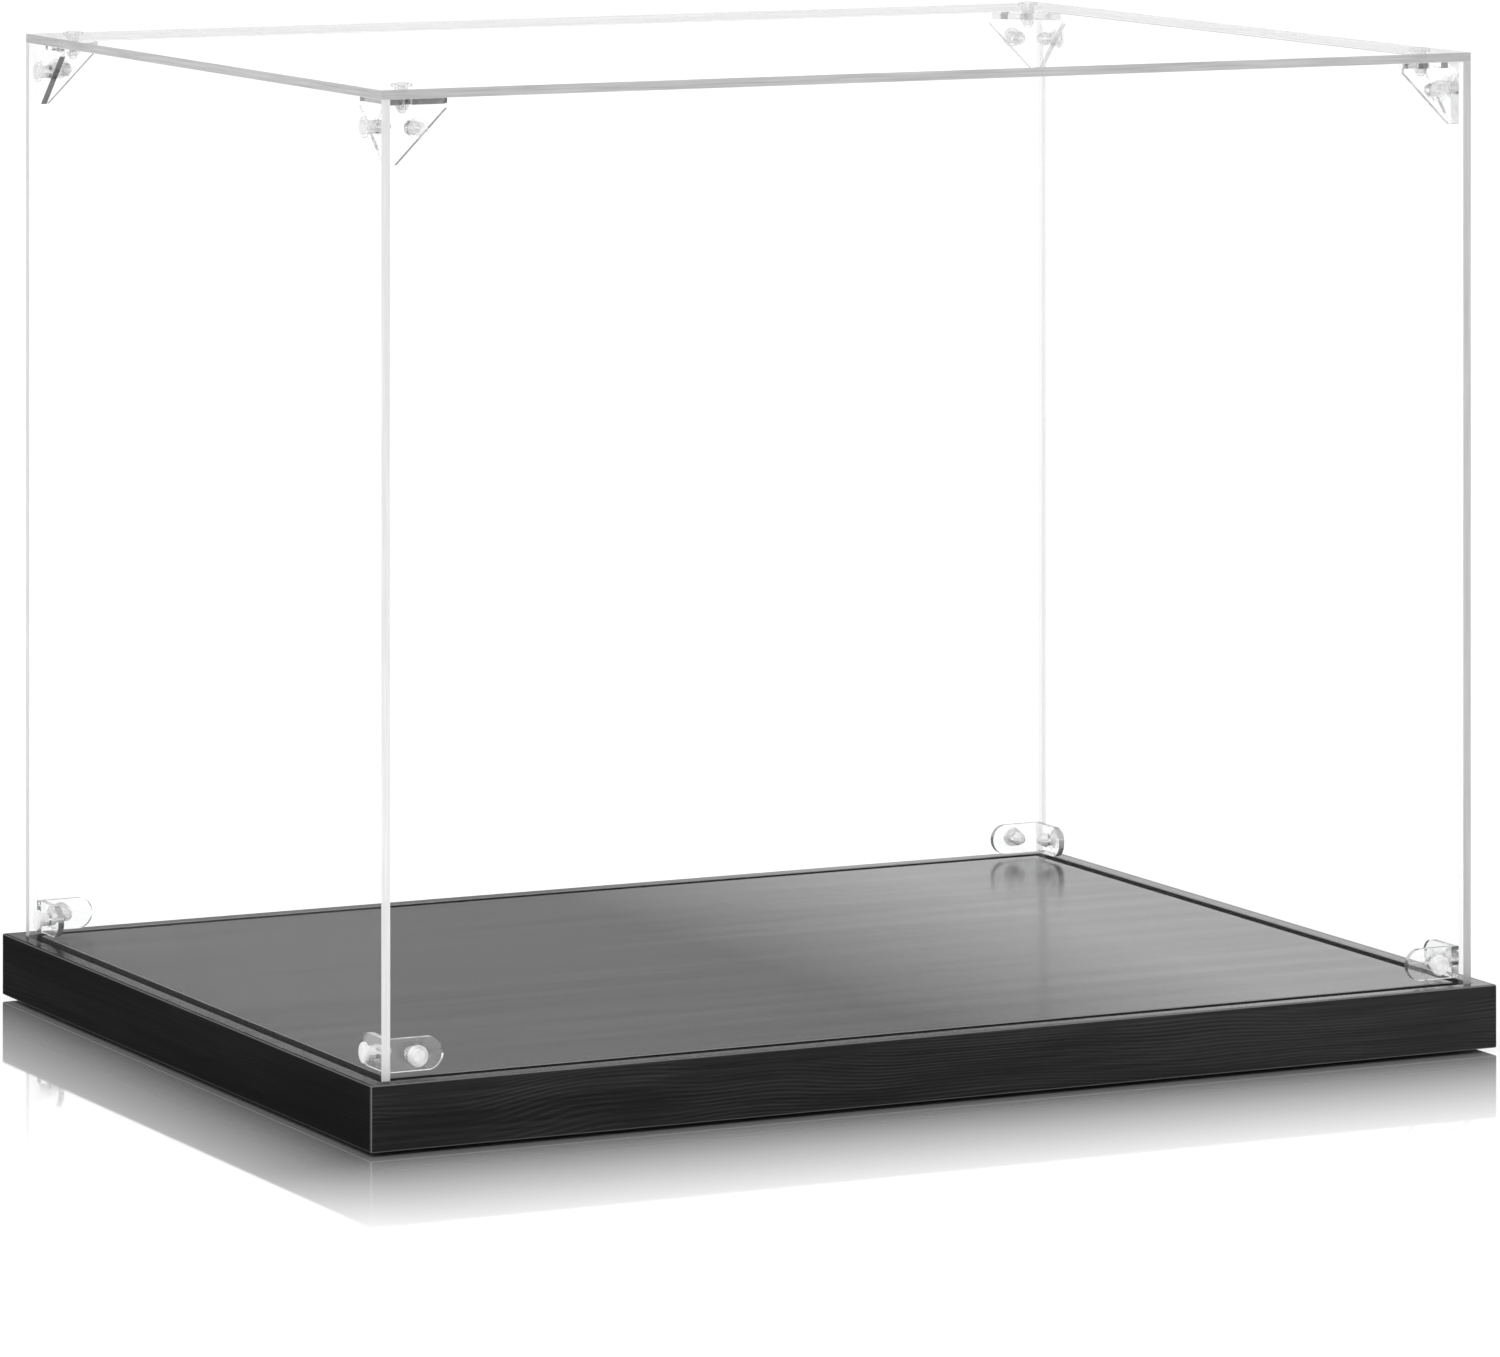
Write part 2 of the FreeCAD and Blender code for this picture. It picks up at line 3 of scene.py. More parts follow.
import bpy
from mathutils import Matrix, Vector


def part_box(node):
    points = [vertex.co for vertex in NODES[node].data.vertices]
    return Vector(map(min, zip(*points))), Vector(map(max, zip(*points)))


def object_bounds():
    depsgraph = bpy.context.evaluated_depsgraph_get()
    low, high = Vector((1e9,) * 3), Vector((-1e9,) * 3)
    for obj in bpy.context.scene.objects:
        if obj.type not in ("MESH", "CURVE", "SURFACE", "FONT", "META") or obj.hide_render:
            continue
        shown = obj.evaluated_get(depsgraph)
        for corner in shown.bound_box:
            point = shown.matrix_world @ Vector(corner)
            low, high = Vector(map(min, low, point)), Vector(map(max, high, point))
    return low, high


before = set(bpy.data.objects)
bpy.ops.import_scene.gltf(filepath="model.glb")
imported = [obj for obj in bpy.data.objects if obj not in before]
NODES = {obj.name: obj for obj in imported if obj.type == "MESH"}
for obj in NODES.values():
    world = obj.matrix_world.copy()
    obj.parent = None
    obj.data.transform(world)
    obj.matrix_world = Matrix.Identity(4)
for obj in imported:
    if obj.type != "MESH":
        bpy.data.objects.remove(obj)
cad_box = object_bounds()

# Metres, in the frame's own axes: +X along the long front side, -Y towards the front, +Z up.
MM = 0.001

PANEL_SIDES = ("top", "front", "back", "left", "right")
CORNERS = ("front_left", "front_right", "back_left", "back_right")

# The thin direction of each panel: 0 for X, 1 for Y, 2 for Z.
PANEL_AXIS = {"top": 2, "front": 1, "back": 1, "left": 0, "right": 0}

# The walls stand on the floor of the groove. A place this near to a border counts as on it.
GROOVE_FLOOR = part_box("panel_front")[0].z
MARGIN = 1.0 * MM

# Each panel's frosted edges: dimmest grey, brightest grey, and the factor on both at the foot.
# Painted light: the greys differ from panel to panel as the light falls on each, and the factor makes
# the edges lighter or darker towards the foot.
EDGE_LIGHT_TONES = {
    "top": (0.37, 0.52, 1.0),
    "front": (0.60, 0.80, 1.0),
    "back": (0.52, 0.64, 1.08),
    "left": (0.66, 0.76, 1.24),
    "right": (0.43, 0.54, 0.98),
}

# How frosted a panel's edge looks: from outside, from inside the sheet, and at the walls' foot.
FROST_OUTSIDE = 0.92
FROST_INSIDE_LID = 0.45
FROST_INSIDE_WALL = 0.20
FROST_AT_FOOT = 0.70

# Each corner bracket: grey of the painted line on its slanted edges, which stands in for light
# bent there and differs by corner as the light falls, that line's share on the plate along X and
# on the plate along Y, and the stretches, counted in millimetres from its corner, where its top
# plate carries a painted dark reflection, seen from the side.
BRACKET_LOOKS = {
    "front_left": (0.10, 0.60, 0.15, ((0.5, 5.2), (8.5, 19.3))),
    "front_right": (0.40, 0.45, 0.15, ((4.0, 6.5), (11.5, 14.5))),
    "back_left": (0.06, 0.50, 0.85, ((6.5, 8.0), (11.0, 14.0))),
    "back_right": (0.45, 0.40, 0.40, ((4.0, 6.5), (11.5, 14.5))),
}

# Grey of the painted line on each bottom clip's rounded ends, and that line's share.
# Painted light and shade: the line stands in for light bent at the rounded ends, and its grey differs by
# corner as the light falls.
CLIP_PAINTED_LINES = {"front_left": 0.95, "front_right": 0.65, "back_left": 0.40, "back_right": 0.45}
CLIP_LINE_SHARE = 0.80

# Camera: it stands level, as a view camera does, with its lens lowered to frame the case, so that
# upright edges stay parallel in the picture. The shift is a share of the picture's width.
VIEW_AZIMUTH = math.radians(-26.29)
VIEW_PLACE = Vector((-1.2342, -2.5080, 0.5024))
LENS = 207.8
LENS_SHIFT = -0.807
SENSOR = 36.0


# ---- node helpers ----

class Nodes:
    """A material or world node tree with short calls for adding and joining nodes."""

    def __init__(self, owner):
        owner.use_nodes = True
        self.tree = owner.node_tree
        self.tree.nodes.clear()

    def add(self, kind, inputs=None, **settings):
        node = self.tree.nodes.new(kind)
        for name, value in settings.items():
            setattr(node, name, value)
        for name, value in (inputs or {}).items():
            self.feed(node.inputs[name], value)
        return node

    def feed(self, socket, value):
        """Join a socket to another, or set its value."""
        if isinstance(value, bpy.types.NodeSocket):
            self.tree.links.new(value, socket)
        else:
            socket.default_value = value

    def math(self, operation, first, second=0.0):
        return self.add("ShaderNodeMath", {0: first, 1: second}, operation=operation).outputs[0]

    def plus(self, first, second):
        return self.math("ADD", first, second)

    def minus(self, first, second):
        return self.math("SUBTRACT", first, second)

    def times(self, first, *others):
        for other in others:
            first = self.math("MULTIPLY", first, other)
        return first

    def size(self, value):
        """A number without its sign."""
        return self.math("ABSOLUTE", value)

    def above(self, value, limit):
        """1 where the value is above the limit, 0 elsewhere."""
        return self.math("GREATER_THAN", value, limit)

    def below(self, value, limit):
        """1 where the value is below the limit, 0 elsewhere."""
        return self.math("LESS_THAN", value, limit)

    def larger(self, first, second):
        return self.math("MAXIMUM", first, second)

    def remap(self, value, low, high, to_low=0.0, to_high=1.0):
        """Stretch low..high to to_low..to_high, and hold the ends beyond it."""
        node = self.add("ShaderNodeMapRange", {
            "Value": value, "From Min": low, "From Max": high,
            "To Min": to_low, "To Max": to_high,
        })
        return node.outputs[0]

    def mix(self, factor, first, second):
        """Mix two colours. The node's colours are its inputs 6 and 7 and its output 2."""
        node = self.add("ShaderNodeMix", data_type="RGBA")
        self.feed(node.inputs[0], factor)
        self.feed(node.inputs[6], first)
        self.feed(node.inputs[7], second)
        return node.outputs[2]

    def grey(self, value):
        """A grey colour from a number that varies."""
        parts = {"Red": value, "Green": value, "Blue": value}
        return self.add("ShaderNodeCombineColor", parts).outputs[0]

    def blend(self, factor, first, second):
        """Mix two shaders."""
        return self.add("ShaderNodeMixShader", {0: factor, 1: first, 2: second}).outputs[0]

    def place(self):
        """The place on the object in its rest pose, whatever pose its body has."""
        return self.add("ShaderNodeTexCoord").outputs["Object"]

    def split(self, vector):
        """The X, Y and Z of a vector."""
        return self.add("ShaderNodeSeparateXYZ", {"Vector": vector}).outputs

    def stretched(self, vector, scale):
        node = self.add("ShaderNodeVectorMath", {0: vector, 1: scale}, operation="MULTIPLY")
        return node.outputs[0]

    def noise(self, vector, detail, roughness=0.5, distortion=0.0):
        node = self.add("ShaderNodeTexNoise", {
            "Vector": vector, "Scale": 1.0, "Detail": detail, "Roughness": roughness,
            "Distortion": distortion,
        })
        return node.outputs["Fac"]

    def even_noise(self, place, cells, detail, roughness=0.5):
        """Noise with the same number of cells to the metre in every direction."""
        return self.noise(self.stretched(place, (cells, cells, cells)), detail, roughness)

    def bump(self, height, strength, distance):
        inputs = {"Height": height, "Strength": strength, "Distance": distance}
        return self.add("ShaderNodeBump", inputs).outputs[0]

    def normal(self):
        """The way a surface faces, before any bump."""
        return self.add("ShaderNodeNewGeometry").outputs["True Normal"]

    def fresnel(self, ior):
        return self.add("ShaderNodeFresnel", {"IOR": ior}).outputs[0]

    def matt(self, colour, **more):
        return self.add("ShaderNodeBsdfDiffuse", {"Color": colour, **more}).outputs[0]

    def mirror(self, colour, roughness, **more):
        inputs = {"Color": colour, "Roughness": roughness, **more}
        return self.add("ShaderNodeBsdfGlossy", inputs).outputs[0]

    def see_through(self, colour):
        return self.add("ShaderNodeBsdfTransparent", {"Color": colour}).outputs[0]

    def principled(self, inputs):
        return self.add("ShaderNodeBsdfPrincipled", inputs).outputs[0]

    def finish(self, shader, output="ShaderNodeOutputMaterial"):
        self.add(output, {"Surface": shader})


def new_material(name):
    material = bpy.data.materials.new(name)
    return material, Nodes(material)


def grey(value):
    """A fixed grey colour."""
    return (value, value, value, 1.0)


# The largest part of a normal, on a surface that counts as fully slanted and as fully square.
SLANTED = 0.90
SQUARE = 0.985


def where_slanted(n):
    """0 where a surface faces straight along an axis, 1 on its rounded and slanted edges."""
    facing = n.add("ShaderNodeVectorMath", {0: n.normal()}, operation="ABSOLUTE").outputs[0]
    parts = n.split(facing)
    return n.remap(n.larger(parts[0], n.larger(parts[1], parts[2])), SLANTED, SQUARE, 1.0, 0.0)


# ---- base materials ----

LACQUER_IOR = 1.5

# The lacquer's reflection changes from the board's middle to this share of its right half: a
# painted sheen, stronger to the right as if more light fell there.
PAINTED_SHEEN_REACH = 0.65

# How much more or less the lacquer reflects on the lightest and darkest grain.
GLOSS_CHANGE = 0.06

# Fine lines of the grain: their spacing, how far they wander, and the depth of their relief.
GRAIN_PERIOD = 1.2 * MM
GRAIN_WANDER = 30 * MM
GRAIN_RELIEF = 0.3 * MM

# Layers of the grain: noise cells to the metre along the grain and across it.
WANDER_CELLS = (7.0, 16.0)
PATCH_CELLS = (16.0, 90.0)
FIBRE_CELLS = (11.0, 700.0)
BROAD_CELLS = (4.0, 110.0)

# What the fine figure is made of: lines in patches, and fibre.
LINE_PART = 0.6
FIBRE_PART = 0.4

WOOD_EARLY = (0.72, 0.43, 0.17, 1.0)
WOOD_LATE = (0.50, 0.24, 0.07, 1.0)
WOOD_FIBRE = (0.85, 0.60, 0.30, 1.0)
WOOD_FIBRE_SHARE = 0.35


def woodgrain(name, along, colours, roughness, relief, gloss, arris_highlight, veins):
    """Black wood-grain film. along is 0 for grain along X and 1 for grain along Y.

    gloss is the share of a clear lacquer's reflection, at the board's middle and to the left of it,
    and then near its right end, where the stronger reflection is a painted sheen. The grey of the
    film's bevelled and rounded edges is a painted highlight. veins is how strongly the fine figure
    shows against the broad one.
    """
    material, n = new_material(name)
    place = n.place()
    split = n.split(place)

    def grain(cells, **options):
        run, across = cells
        scale = [across, across, across]
        scale[along] = run
        return n.noise(n.stretched(place, scale), **options)

    # The fine lines wander, as they do where a board is sawn across its growth rings.
    sideways = n.plus(split[1 - along], split[2])
    wander = n.times(n.minus(grain(WANDER_CELLS, detail=2.0), 0.5), GRAIN_WANDER)
    phase = n.times(n.plus(sideways, wander), math.tau / GRAIN_PERIOD)
    lines = n.remap(n.math("SINE", phase), -0.2, 1.0)
    patches = n.remap(grain(PATCH_CELLS, detail=3.0, roughness=0.6), 0.42, 0.62)
    fibre = n.remap(grain(FIBRE_CELLS, detail=5.0, roughness=0.65), 0.35, 0.65)
    broad = n.remap(grain(BROAD_CELLS, detail=3.0, distortion=0.5), 0.32, 0.68)
    fine = n.plus(n.times(lines, patches, LINE_PART), n.times(fibre, FIBRE_PART))
    shade = n.plus(n.times(fine, veins), n.times(broad, 1.0 - veins))
    dark, light = colours
    # Painted highlight: the bevelled and rounded edges take a lighter grey.
    colour = n.mix(where_slanted(n), n.mix(shade, grey(dark), grey(light)), grey(arris_highlight))

    low, high = roughness
    lacquer = n.mirror(grey(1.0), n.remap(shade, 0.0, 1.0, high, low),
                       Normal=n.bump(fine, relief, GRAIN_RELIEF))
    # Painted sheen: the lacquer reflects more towards the right end.
    share = n.remap(split[0], 0.0, PAINTED_SHEEN_REACH * cad_box[1].x, *gloss)
    share = n.times(share, n.remap(shade, 0.0, 1.0, 1.0 - GLOSS_CHANGE, 1.0 + GLOSS_CHANGE))
    n.finish(n.blend(n.times(n.fresnel(LACQUER_IOR), share), n.matt(colour), lacquer))
    return material


def core_wood():
    """Yellow softwood, painted black in the routed groove."""
    material, n = new_material("core_wood")
    place = n.place()
    rings = n.add("ShaderNodeTexWave", {
        "Vector": n.stretched(place, (2.0, 60.0, 90.0)), "Scale": 1.0, "Distortion": 6.0,
        "Detail": 3.0, "Detail Scale": 1.2,
    }, wave_type="BANDS", bands_direction="DIAGONAL").outputs["Fac"]
    fibre = n.noise(n.stretched(place, (12.0, 700.0, 700.0)), detail=4.0)
    wood = n.mix(rings, WOOD_EARLY, WOOD_LATE)
    wood = n.mix(n.times(fibre, WOOD_FIBRE_SHARE), wood, WOOD_FIBRE)
    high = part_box("base_core")[1]
    split = n.split(place)
    in_x = n.below(n.size(split["X"]), high.x - MARGIN)
    in_y = n.below(n.size(split["Y"]), high.y - MARGIN)
    near_top = n.above(split["Z"], GROOVE_FLOOR - MARGIN)
    painted = n.times(near_top, in_x, in_y)
    speckle = n.even_noise(place, 900.0, detail=2.0)
    paint = n.mix(speckle, grey(0.004), grey(0.012))
    n.finish(n.principled({
        "Base Color": n.mix(painted, wood, paint),
        "Roughness": n.remap(speckle, 0.3, 0.7, 0.5, 0.75),
        "Normal": n.bump(n.plus(fibre, speckle), 0.4, 0.2 * MM),
    }))
    return material


def pebbled(name, tone, roughness, cells, relief):
    """Matt sheet or rubber with a fine pebbled surface."""
    material, n = new_material(name)
    pebbles = n.even_noise(n.place(), cells, detail=3.0, roughness=0.6)
    n.finish(n.principled({
        "Base Color": n.mix(pebbles, grey(tone * 0.7), grey(tone * 1.4)),
        "Roughness": n.remap(pebbles, 0.3, 0.7, roughness - 0.08, roughness + 0.08),
        "Normal": n.bump(pebbles, relief, 0.1 * MM),
    }))
    return material


# ---- clear materials ----

ACRYLIC_IOR = 1.49
BRACKET_IOR = 1.22

# The grey of light that has passed a clear surface.
CLEAR = 0.985
MOULD_RELIEF = 0.1 * MM

# A sheet's surface counts as its broad face when it faces this squarely along the thin direction.
FACE_LIMIT = 0.97

# Noise cells to the metre on a sheet's sawn edges: along the edge, and across the sheet.
SAW_CELLS = (40.0, 1800.0)

# The part of a bracket below its top that holds the top plate, and the share of the painted dark
# reflection on that plate.
TOP_PLATE = 2.1 * MM
DARK_REFLECTION_SHARE = 0.85

# Rivets: milky grey, and for low and then high rivets the grey of their painted rim and the milky
# share; the low rivets are painted lighter, as if the floor lit them.
RIVET_MILK = 0.98
RIVET_PAINTED_RIM = (0.90, 0.42)
RIVET_CLOUD = (0.46, 0.22)
OUTLINE_CLOUD = 0.50


def outer_side(n):
    """1 where a surface is seen from outside its solid, 0 from inside it."""
    return n.minus(1.0, n.add("ShaderNodeNewGeometry").outputs["Backfacing"])


def outer_gleam(n, strength):
    """Share of light that clear plastic mirrors, scaled by strength, on its outer side only."""
    return n.times(n.fresnel(ACRYLIC_IOR), strength, outer_side(n))


def clear_face(n, gloss):
    """Polished clear surface: sees straight through, with a weak mirror on its outer side."""
    return n.blend(outer_gleam(n, gloss), n.see_through(grey(CLEAR)), n.mirror(grey(1.0), 0.015))


def sheet_face(n, painted_veil_share):
    """Broad face of a sheet: sees straight through, with a faint painted reflection of the white room.
    """
    return n.blend(outer_gleam(n, painted_veil_share), n.see_through(grey(0.997)), n.matt(grey(0.95)))


def on_broad_face(n, axis):
    """1 on the faces across a sheet's thin direction, 0 on its edges and in its holes."""
    local = n.add("ShaderNodeVectorTransform", {"Vector": n.normal()}, vector_type="NORMAL",
                  convert_from="WORLD", convert_to="OBJECT").outputs[0]
    return n.above(n.size(n.split(local)[axis]), FACE_LIMIT)


def on_sheet_edge(n, place, side):
    """1 on the sheet's outer edges, 0 in its rivet holes and on the middle of its faces."""
    low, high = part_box(f"panel_{side}")
    split = n.split(place)
    found = 0.0
    for axis in range(3):
        if axis != PANEL_AXIS[side]:
            middle = (low[axis] + high[axis]) / 2
            reach = (high[axis] - low[axis]) / 2 - MARGIN
            off_middle = n.size(n.minus(split[axis], middle))
            found = n.larger(n.above(off_middle, reach), found)
    return found


def clear_sheet(side):
    """Acrylic sheet: clear faces, and lightly frosted sawn edges painted grey as light falls on them.

    From inside the sheet a wall's edge looks almost clear, apart from its lower edge. The lid's
    edges stay visible from inside.
    """
    material, n = new_material(f"clear_sheet_{side}")
    place = n.place()
    axis = PANEL_AXIS[side]
    uneven_veil = n.even_noise(place, 25.0, detail=6.0, roughness=0.7)
    # Painted reflection: a white matt veil on the outer side, its share varying a little across the
    # face.
    face = sheet_face(n, n.remap(uneven_veil, 0.3, 0.7, 0.18, 0.26))

    run, across = SAW_CELLS
    saw_scale = [run, run, run]
    saw_scale[axis] = across
    saw = n.noise(n.stretched(place, saw_scale), detail=3.0)
    dim, bright, foot = EDGE_LIGHT_TONES[side]
    height = n.split(place)["Z"]
    # Painted light: the edge grey changes towards the foot by the panel's factor.
    painted_height_light = n.remap(height, cad_box[0].z, cad_box[1].z, foot, 1.0)
    frost = n.matt(n.grey(n.times(n.remap(saw, 0.3, 0.7, dim, bright), painted_height_light)))

    inside = FROST_INSIDE_LID if side == "top" else FROST_INSIDE_WALL
    at_foot = n.below(height, GROOVE_FLOOR + MARGIN)
    frosted = n.larger(n.remap(outer_side(n), 0.0, 1.0, inside, FROST_OUTSIDE),
                       n.times(at_foot, FROST_AT_FOOT))
    sawn = n.blend(frosted, clear_face(n, 0.5), frost)
    edge = n.blend(on_sheet_edge(n, place, side), clear_face(n, 0.3), sawn)
    n.finish(n.blend(on_broad_face(n, axis), edge, face))
    return material


def open_to_light(n, shader):
    """Let light through to what lies behind, in place of a hard shadow."""
    shadow = n.add("ShaderNodeLightPath").outputs["Is Shadow Ray"]
    return n.blend(shadow, shader, n.see_through(grey(0.95)))


def clear_plate(n, painted_edge_grey, edge_share, bend):
    """Clear moulded plastic that bends light. Its slanted and rounded edges carry a painted grey line
    that stands in for light bent and mirrored there.
    """
    flow = n.even_noise(n.place(), 220.0, detail=3.0)
    glass = n.principled({
        "Base Color": (0.98, 0.985, 0.99, 1.0), "Roughness": n.remap(flow, 0.3, 0.7, 0.015, 0.04),
        "IOR": bend, "Transmission Weight": 1.0, "Normal": n.bump(flow, 0.12, MOULD_RELIEF),
    })
    hazy = n.blend(n.remap(flow, 0.3, 0.7, 0.03, 0.05), glass, n.matt(grey(0.95)))
    # Painted light and shade: a grey matt line on the slanted and rounded edges.
    return n.blend(n.times(where_slanted(n), edge_share), hazy, n.matt(grey(painted_edge_grey)))


def clip_plastic(corner):
    """Clear L-shaped clip with a painted grey line round its ends."""
    material, n = new_material(f"clear_clip_{corner}")
    plate = clear_plate(n, CLIP_PAINTED_LINES[corner], CLIP_LINE_SHARE, ACRYLIC_IOR)
    n.finish(open_to_light(n, plate))
    return material


def bracket_plastic(corner):
    """Clear bracket whose top plate, seen from the front or back, carries a painted dark reflection in
    places.
    """
    painted_edge_grey, share_x, share_y, spans = BRACKET_LOOKS[corner]
    material, n = new_material(f"clear_bracket_{corner}")
    low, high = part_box(f"top_bracket_{corner}")
    place = n.place()
    split = n.split(place)
    if corner.endswith("left"):
        along = n.minus(split["X"], low.x)
    else:
        along = n.minus(high.x, split["X"])
    dark_reflection_spans = 0.0
    for start, end in spans:
        within = n.times(n.above(along, start * MM), n.below(along, end * MM))
        dark_reflection_spans = n.larger(within, dark_reflection_spans)
    on_top_plate = n.above(split["Z"], high.z - TOP_PLATE)
    lean = n.split(n.normal())
    from_front = n.above(n.size(lean["Y"]), 0.9)
    mottle = n.even_noise(place, 350.0, detail=3.0)
    # Painted reflection: a mottled dark grey on the top plate's front and back faces stands in for dark
    # surroundings seen mirrored in the plate.
    painted_dark_reflection = n.matt(n.mix(n.remap(mottle, 0.35, 0.65), grey(0.16), grey(0.24)))
    edge_share = n.remap(n.size(lean["X"]), 0.3, 0.6, share_y, share_x)
    plate = clear_plate(n, painted_edge_grey, edge_share, BRACKET_IOR)
    share = n.times(dark_reflection_spans, on_top_plate, from_front, DARK_REFLECTION_SHARE)
    n.finish(open_to_light(n, n.blend(share, plate, painted_dark_reflection)))
    return material


def rivet_plastic():
    """Clear rivets, a little milky, with a painted grey rim where they curve away, which stands in for
    light bent at their sides. Low rivets are painted lighter than high ones.
    """
    material, n = new_material("clear_rivet")
    place = n.place()
    flow = n.even_noise(place, 400.0, detail=3.0)
    normal = n.bump(flow, 0.10, MOULD_RELIEF)
    facing = n.add("ShaderNodeLayerWeight", {"Blend": 0.5, "Normal": normal}).outputs["Facing"]
    # Painted shade: a grey rim where the rivet curves away from the view.
    painted_rim = n.remap(facing, 0.35, 0.90)
    # Painted light: low rivets get a lighter rim and a larger milky share than high ones.
    upper = n.remap(n.split(place)["Z"], 0.2 * cad_box[1].z, 0.8 * cad_box[1].z)
    change = n.minus(n.remap(upper, 0.0, 1.0, *RIVET_PAINTED_RIM), RIVET_MILK)
    tone = n.plus(RIVET_MILK, n.times(painted_rim, change))
    uneven = n.remap(flow, 0.3, 0.7, 0.8, 1.2)
    milk_and_painted_light = n.times(uneven, n.remap(upper, 0.0, 1.0, *RIVET_CLOUD))
    share = n.plus(milk_and_painted_light, n.times(painted_rim, OUTLINE_CLOUD))
    body = n.blend(share, n.see_through(grey(CLEAR)), n.matt(n.grey(tone), Normal=normal))
    lit = n.blend(outer_gleam(n, 0.5), body, n.mirror(grey(0.95), 0.10))
    n.finish(open_to_light(n, lit))
    return material


# ---- dressing the CAD nodes ----

def paint(node, material):
    mesh = NODES[node].data
    mesh.materials.clear()
    mesh.materials.append(material)


def dress_base():
    top_film = woodgrain("black_film_top", along=0, colours=(0.002, 0.026), roughness=(0.12, 0.19),
                         relief=0.03, gloss=(0.44, 1.0), arris_highlight=0.20, veins=0.5)
    long_band = woodgrain("black_band_long", along=0, colours=(0.002, 0.040), roughness=(0.35, 0.50),
                          relief=0.6, gloss=(0.24, 0.42), arris_highlight=0.15, veins=0.8)
    # Lit and shaded copies of one band: the left band is painted darker with little sheen, as if in
    # shade, and the right band a little lighter with more sheen, as if lit.
    shaded_left_band = woodgrain("black_band_left_shaded", along=1, colours=(0.002, 0.013), roughness=(0.35, 0.50),
                          relief=0.5, gloss=(0.06, 0.06), arris_highlight=0.12, veins=0.6)
    lit_right_band = woodgrain("black_band_right_lit", along=1, colours=(0.002, 0.045),
                           roughness=(0.35, 0.50), relief=0.6, gloss=(0.26, 0.40), arris_highlight=0.15,
                           veins=0.8)
    paint("base_top_film", top_film)
    paint("base_rim_film", top_film)
    paint("edge_band_front", long_band)
    paint("edge_band_back", long_band)
    paint("edge_band_left", shaded_left_band)
    paint("edge_band_right", lit_right_band)
    paint("base_core", core_wood())
    paint("base_bottom_liner", pebbled("liner_paper", tone=0.02, roughness=0.7, cells=900.0, relief=0.2))
    paint("anti_slip_pads", pebbled("pad_rubber", tone=0.03, roughness=0.8, cells=1500.0, relief=0.5))


def dress_cover():
    rivet = rivet_plastic()
    for side in PANEL_SIDES:
        paint(f"panel_{side}", clear_sheet(side))
        paint(f"rivet_bodies_{side}", rivet)
        paint(f"rivet_pins_{side}", rivet)
    for corner in CORNERS:
        paint(f"top_bracket_{corner}", bracket_plastic(corner))
        paint(f"bottom_clip_{corner}", clip_plastic(corner))


# ---- studio ----

FLOOR_RADIUS = 40.0

# The floor's mirror share right beside the case, and the distance over which it fades to none.
FLOOR_MIRROR = 0.88
FLOOR_FADE = 128 * MM

# The room is full white below the first height, and dims towards the second.
ROOM_WHITE_BELOW = math.radians(18)
ROOM_DIM_ABOVE = math.radians(40)
ROOM_DIM = 0.30

# The backdrop that the camera sees is brighter than white, so that it stays pure white.
BACKDROP = 1.1

# The lens stays lowered within the first distance of the camera's place, and is straight beyond
# the second.
LENS_LOWERED_WITHIN = 20 * MM
LENS_STRAIGHT_BEYOND = 50 * MM


def floor_material():
    """White floor, glossier close to the case, so that the base is mirrored in it and fades."""
    material, n = new_material("studio_floor")
    place = n.add("ShaderNodeNewGeometry").outputs["Position"]
    split = n.split(place)
    high = cad_box[1]
    out_x = n.larger(n.minus(n.size(split["X"]), high.x), 0.0)
    out_y = n.larger(n.minus(n.size(split["Y"]), high.y), 0.0)
    away = n.math("SQRT", n.plus(n.times(out_x, out_x), n.times(out_y, out_y)))
    near = n.remap(away, 0.0, FLOOR_FADE, FLOOR_MIRROR, 0.0)
    grazing = n.add("ShaderNodeLayerWeight", {"Blend": 0.5}).outputs["Facing"]
    share = n.times(near, n.remap(grazing, 0.45, 0.76, 0.25, 1.0))
    mottle = n.even_noise(place, 3.0, detail=2.0)
    matt = n.matt(n.mix(mottle, grey(0.93), grey(0.95)))
    n.finish(n.blend(share, matt, n.mirror(grey(0.99), 0.035)))
    return material


def add_floor():
    bpy.ops.mesh.primitive_circle_add(vertices=64, radius=FLOOR_RADIUS, fill_type="NGON")
    floor = bpy.context.object
    floor.name = "studio_floor"
    floor.data.materials.append(floor_material())


def add_world():
    """A white room that lights the case, and a pure white backdrop that only the camera sees."""
    world = bpy.data.worlds.new("studio")
    bpy.context.scene.world = world
    n = Nodes(world)
    seen = n.add("ShaderNodeLightPath").outputs["Is Camera Ray"]
    height = n.split(n.add("ShaderNodeTexCoord").outputs["Generated"])["Z"]
    glow = n.remap(height, math.sin(ROOM_WHITE_BELOW), math.sin(ROOM_DIM_ABOVE), 1.0, ROOM_DIM)
    room = n.add("ShaderNodeBackground", {"Color": grey(1.0), "Strength": glow}).outputs[0]
    backdrop = n.add("ShaderNodeBackground", {"Color": grey(1.0), "Strength": BACKDROP}).outputs[0]
    n.finish(n.blend(seen, room, backdrop), "ShaderNodeOutputWorld")


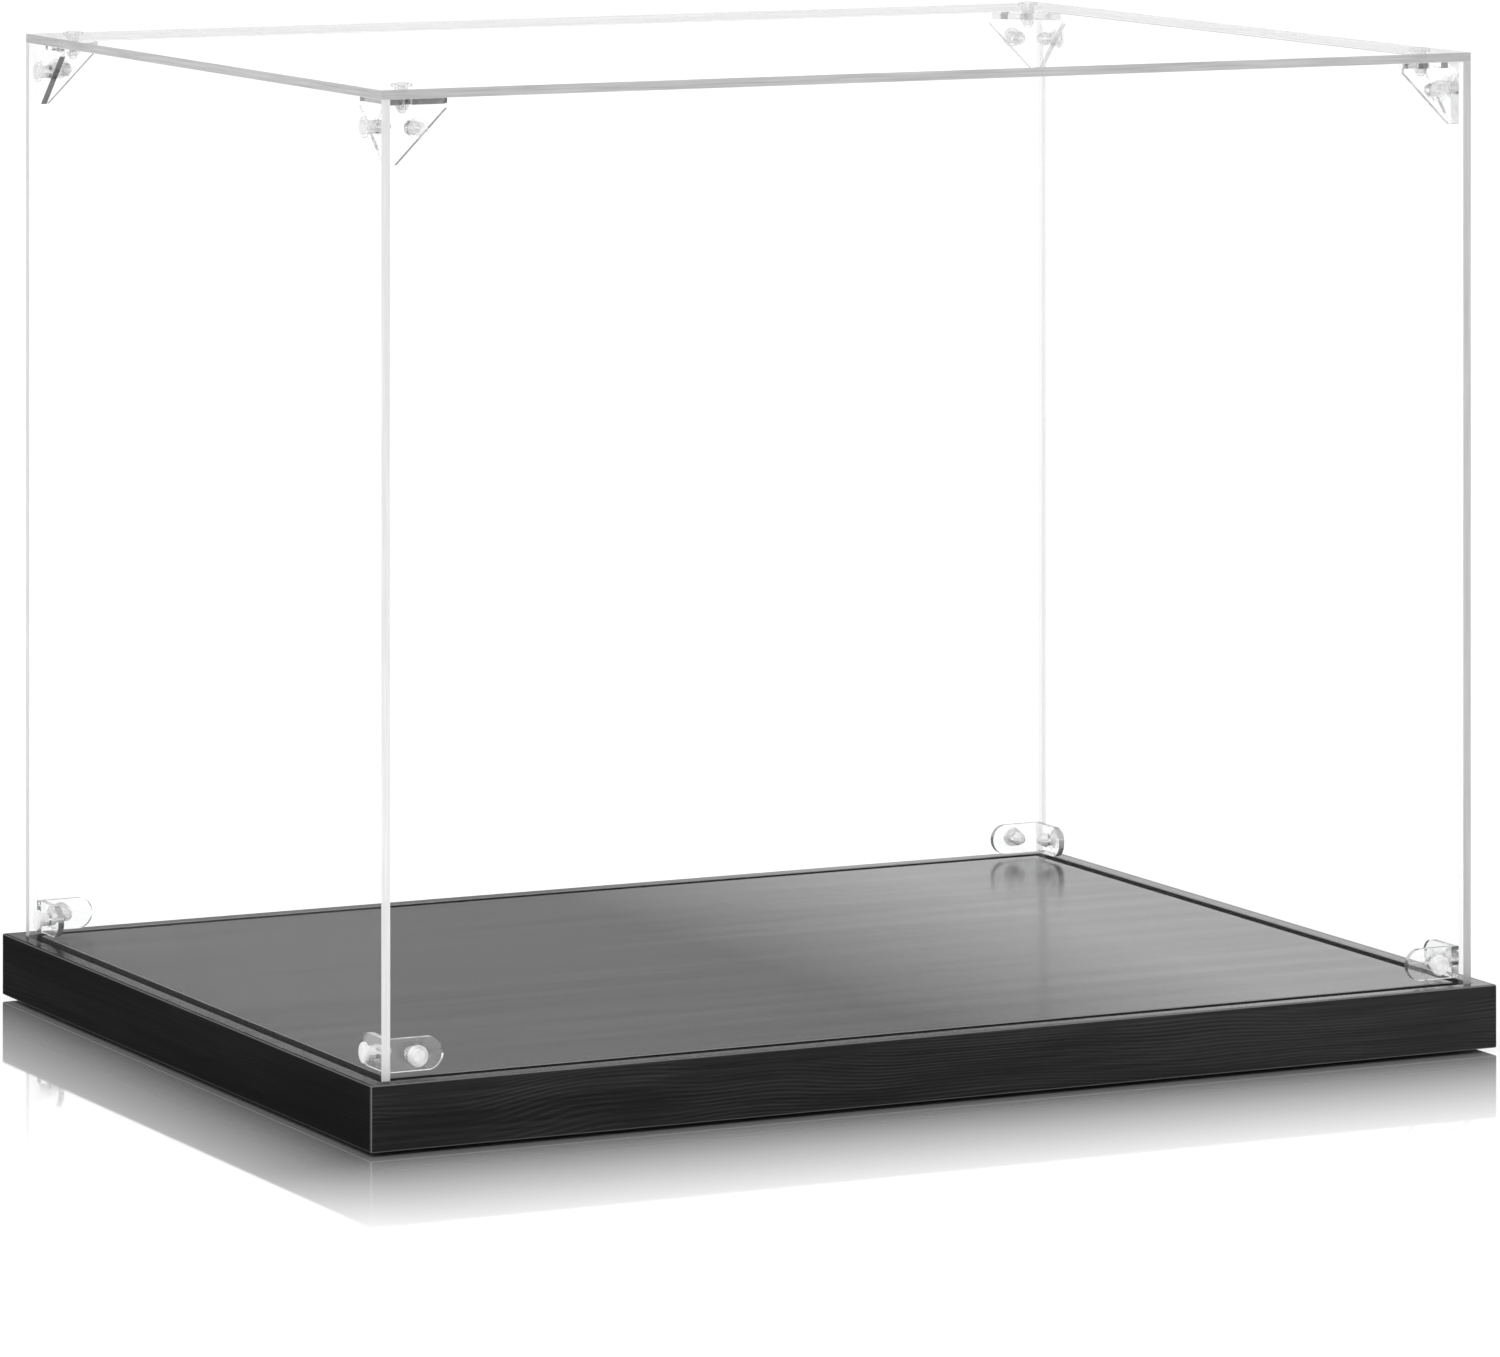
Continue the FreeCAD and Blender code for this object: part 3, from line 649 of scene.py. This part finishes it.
def add_soft_light(name, azimuth, elevation, width, strength):
    """Broad even light from far away. Its direction and its width are in degrees."""
    light = bpy.data.lights.new(name, "SUN")
    light.energy = strength
    light.angle = math.radians(width)
    lamp = bpy.data.objects.new(name, light)
    bpy.context.scene.collection.objects.link(lamp)
    turn = math.radians(azimuth)
    rise = math.radians(elevation)
    towards = Vector((math.sin(turn) * math.cos(rise), -math.cos(turn) * math.cos(rise),
                      math.sin(rise)))
    lamp.rotation_mode = "QUATERNION"
    lamp.rotation_quaternion = towards.to_track_quat("Z", "Y")


def lower_lens(camera):
    """Lower the lens for the camera's own place only. Seen from anywhere else it looks straight."""
    mark = bpy.data.objects.new("camera_place", None)
    mark.location = camera.location
    bpy.context.scene.collection.objects.link(mark)
    curve = camera.data.driver_add("shift_y")
    curve.driver.type = "SUM"
    gap = curve.driver.variables.new()
    gap.type = "LOC_DIFF"
    gap.targets[0].id = camera
    gap.targets[1].id = mark
    for modifier in list(curve.modifiers):
        curve.modifiers.remove(modifier)
    curve.keyframe_points.clear()
    lowered = ((0.0, LENS_SHIFT), (LENS_LOWERED_WITHIN, LENS_SHIFT), (LENS_STRAIGHT_BEYOND, 0.0))
    for distance, shift in lowered:
        point = curve.keyframe_points.insert(distance, shift)
        point.interpolation = "LINEAR"


def add_camera():
    data = bpy.data.cameras.new("camera")
    data.lens = LENS
    data.sensor_width = SENSOR
    data.clip_start = 0.05
    data.clip_end = 3 * FLOOR_RADIUS
    camera = bpy.data.objects.new("camera", data)
    bpy.context.scene.collection.objects.link(camera)
    ahead = Vector((-math.sin(VIEW_AZIMUTH), math.cos(VIEW_AZIMUTH), 0.0))
    camera.location = VIEW_PLACE
    camera.rotation_mode = "QUATERNION"
    camera.rotation_quaternion = ahead.to_track_quat("-Z", "Y")
    bpy.context.scene.camera = camera
    lower_lens(camera)


def set_view_and_bounces():
    scene = bpy.context.scene
    scene.view_settings.view_transform = "Standard"
    scene.cycles.max_bounces = 12
    scene.cycles.transparent_max_bounces = 48
    scene.cycles.transmission_bounces = 12
    scene.cycles.glossy_bounces = 6
    scene.cycles.caustics_reflective = False
    scene.cycles.caustics_refractive = False


dress_base()
dress_cover()
add_floor()
add_world()
add_soft_light("key", azimuth=-60, elevation=62, width=50, strength=1.6)
add_soft_light("fill", azimuth=120, elevation=70, width=70, strength=1.0)
add_camera()
set_view_and_bounces()
